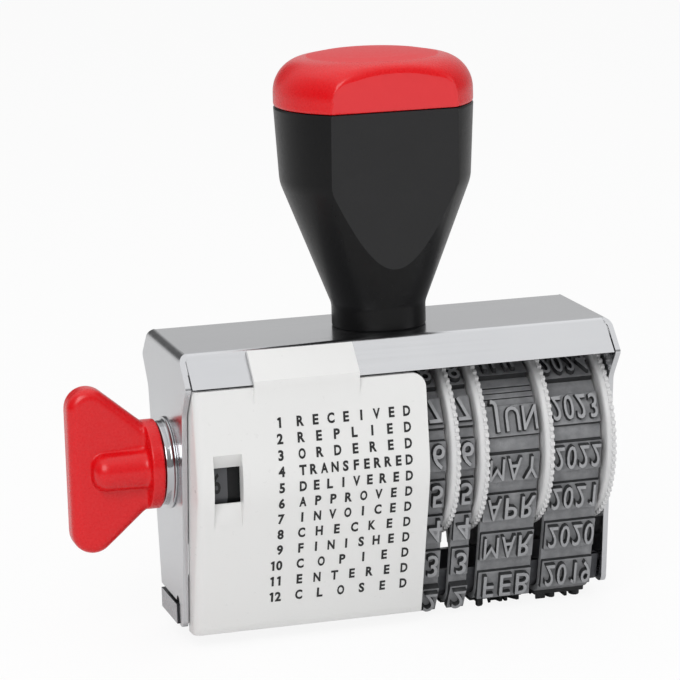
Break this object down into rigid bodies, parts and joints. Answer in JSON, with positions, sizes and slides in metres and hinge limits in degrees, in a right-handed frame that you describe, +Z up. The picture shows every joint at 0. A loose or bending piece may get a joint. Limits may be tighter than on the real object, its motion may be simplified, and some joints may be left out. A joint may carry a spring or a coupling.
{
  "type": "band date stamp",
  "caption": "Self-standing date stamp with rubber type loops on toothed thumbwheels, a phrase loop turned by a wing knob behind a white cover, in a plated frame under a tapered handle.",
  "frame": {"origin": "on the print face, midway between the two side plates and midway between front and back", "axes": "+X along the axle from the wing knob to the year wheel, +Y to the back, +Z up the handle"},
  "size_m": [0.0858, 0.0305, 0.0878],
  "materials": {
    "plated_sheet": "polished",
    "black_plastic": "satin",
    "red_plastic": "satin",
    "white_plastic": "gloss",
    "ivory_plastic": "satin",
    "dark_plastic": "satin",
    "rubber": "matt",
    "chrome": "polished",
    "zinc": "satin",
    "steel": "satin",
    "spring_steel": "blackened",
    "brass": "satin"
  },
  "bodies": {
    "stamp": {"frame": "plated_sheet", "handle": "black_plastic", "handle_cap": "red_plastic", "handle_insert": "brass", "handle_screw": "steel", "lock_washer": "steel", "phrase_cover": "white_plastic", "print_bridge": "zinc", "knob_bush": "chrome", "bush_nut": "steel", "right_bush": "chrome", "end_washer": "steel", "phrase_band": "rubber", "tens_band": "rubber", "units_band": "rubber", "month_band": "rubber", "year_band": "rubber"},
    "phrase": {"wing_knob": "red_plastic", "axle": "steel", "axle_clip": "spring_steel", "phrase_drum": "dark_plastic", "index_ring": "dark_plastic"},
    "tens": {"tens_wheel": "ivory_plastic"},
    "units": {"units_wheel": "ivory_plastic"},
    "month": {"month_wheel": "ivory_plastic"},
    "year": {"year_wheel": "ivory_plastic"}
  },
  "joints": [
    {"name": "phrase_turn", "type": "hinge", "parent": "stamp", "child": "phrase", "pos_m": [0, 0, 0.027], "axis": [1, 0, 0], "continuous": true},
    {"name": "tens_turn", "type": "hinge", "parent": "stamp", "child": "tens", "pos_m": [0, 0, 0.027], "axis": [1, 0, 0], "continuous": true},
    {"name": "units_turn", "type": "hinge", "parent": "stamp", "child": "units", "pos_m": [0, 0, 0.027], "axis": [1, 0, 0], "continuous": true},
    {"name": "month_turn", "type": "hinge", "parent": "stamp", "child": "month", "pos_m": [0, 0, 0.027], "axis": [1, 0, 0], "continuous": true},
    {"name": "year_turn", "type": "hinge", "parent": "stamp", "child": "year", "pos_m": [0, 0, 0.027], "axis": [1, 0, 0], "continuous": true}
  ]
}
